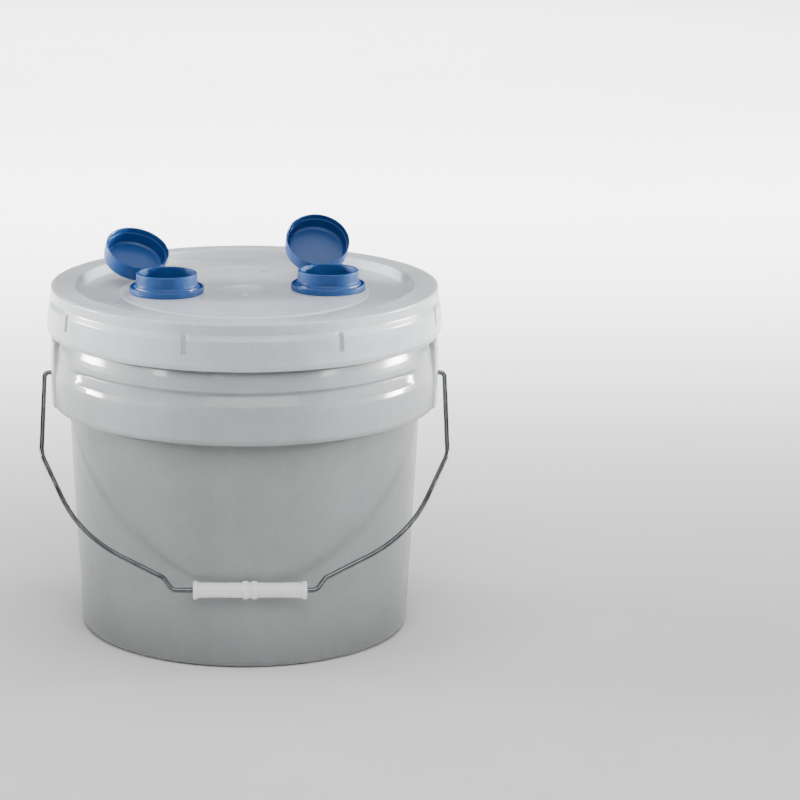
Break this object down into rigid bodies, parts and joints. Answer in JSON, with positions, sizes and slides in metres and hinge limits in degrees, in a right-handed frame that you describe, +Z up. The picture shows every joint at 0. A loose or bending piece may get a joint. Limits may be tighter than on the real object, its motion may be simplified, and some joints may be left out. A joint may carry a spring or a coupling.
{
  "type": "lidded bucket with capped ports",
  "caption": "White plastic bucket with a press-on lid, wide blue ports in the lid closed by hinged flip caps, and a wire bail with a plastic grip.",
  "frame": {"origin": "centre of the base, on the plane the bucket stands on", "axes": "+Z up along the bucket's axis, -Y towards the front where the bail hangs, +X to the right along the line of the bail's ears"},
  "size_m": [0.3224, 0.3136, 0.3192],
  "materials": {
    "bucket_plastic": "moulded natural white HDPE, satin",
    "lid_plastic": "moulded white HDPE, semi-gloss",
    "gasket_rubber": "soft grey rubber",
    "port_plastic": "moulded blue polyethylene, semi-gloss",
    "washer_rubber": "black rubber",
    "wire_steel": "galvanised drawn wire",
    "grip_plastic": "moulded white plastic"
  },
  "bodies": {
    "bucket": {"bucket_shell": "bucket_plastic"},
    "lid": {"lid_shell": "lid_plastic", "lid_gasket": "gasket_rubber", "port_neck_left": "port_plastic", "port_neck_right": "port_plastic", "port_gasket_left": "washer_rubber", "port_gasket_right": "washer_rubber", "port_locknut_left": "port_plastic", "port_locknut_right": "port_plastic", "hinge_web_left": "port_plastic", "hinge_web_right": "port_plastic"},
    "cap_left": {"port_cap_left": "port_plastic"},
    "cap_right": {"port_cap_right": "port_plastic"},
    "bail": {"bail_wire": "wire_steel"},
    "grip": {"bail_grip": "grip_plastic"}
  },
  "joints": [
    {"name": "lid_lift", "type": "slide", "parent": "bucket", "child": "lid", "axis": [0, 0, 1], "range_m": [0, 0.1]},
    {"name": "cap_left_flip", "type": "hinge", "parent": "lid", "child": "cap_left", "pos_m": [-0.07451, 0.01747, 0.2837], "axis": [-0.8746, -0.4848, 0], "range_deg": [-150, 8], "deforming": ["hinge_web_left"]},
    {"name": "cap_right_flip", "type": "hinge", "parent": "lid", "child": "cap_right", "pos_m": [0.0622, 0.0325, 0.2837], "axis": [-0.9877, -0.1564, 0], "range_deg": [-138.5, 19.5], "deforming": ["hinge_web_right"]},
    {"name": "bail_swing", "type": "hinge", "parent": "bucket", "child": "bail", "pos_m": [0, 0, 0.2042], "axis": [-1, 0, 0], "range_deg": [0, 268]},
    {"name": "grip_spin", "type": "hinge", "parent": "bail", "child": "grip", "pos_m": [0, -0.14193, 0.06714], "axis": [1, 0, 0], "continuous": true}
  ]
}
